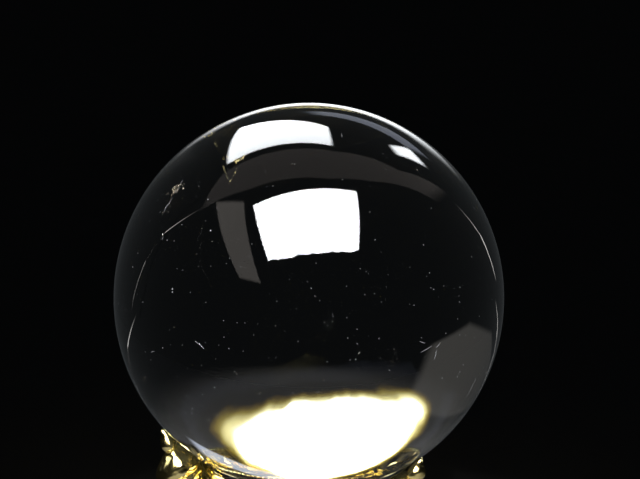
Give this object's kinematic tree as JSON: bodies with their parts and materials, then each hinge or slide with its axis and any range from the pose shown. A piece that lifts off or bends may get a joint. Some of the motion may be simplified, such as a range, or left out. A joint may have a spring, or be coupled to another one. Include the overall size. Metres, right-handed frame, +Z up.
{
  "type": "crystal ball",
  "caption": "Clear rock-crystal ball resting loose on a soft ring in a gilt stand: talon legs reach up round the ball from a stepped round base.",
  "frame": {"origin": "middle of the felt's underside, on the surface the stand rests on", "axes": "+Z up through the ball's centre; one talon stands at +Y, the other two 120 degrees either side of it"},
  "size_m": [0.094, 0.094, 0.116],
  "materials": {
    "quartz": "polished clear natural rock crystal with small inclusions",
    "gilt": "cast brass, gilded and polished, darker in the creases",
    "steel": "zinc plated",
    "iron": "rough, painted black",
    "soft_ring": "matt black",
    "felt": "pressed wool felt"
  },
  "bodies": {
    "stand": {"ballast_plate": "iron", "base_dome": "gilt", "base_foot": "gilt", "bead_ring": "gilt", "centre_bolt": "steel", "centre_washer": "steel", "felt_pad": "felt", "finial": "gilt", "leg_screw_1": "steel", "leg_screw_2": "steel", "leg_screw_3": "steel", "leg_washer_1": "steel", "leg_washer_2": "steel", "leg_washer_3": "steel", "ring_screw_1": "gilt", "ring_screw_2": "gilt", "ring_screw_3": "gilt", "seat_ring": "gilt", "talon_leg_1": "gilt", "talon_leg_2": "gilt", "talon_leg_3": "gilt"},
    "soft_ring": {"seat_liner": "soft_ring"},
    "ball": {"crystal_ball": "quartz"}
  },
  "joints": [
    {"name": "seat_turn", "type": "hinge", "parent": "stand", "child": "soft_ring", "pos_m": [0, 0, 0.039], "axis": [0, 0, 1], "continuous": true},
    {"name": "ball_lift", "type": "slide", "parent": "soft_ring", "child": "ball", "axis": [0, 0, 1], "range_m": [0, 0.08]}
  ]
}
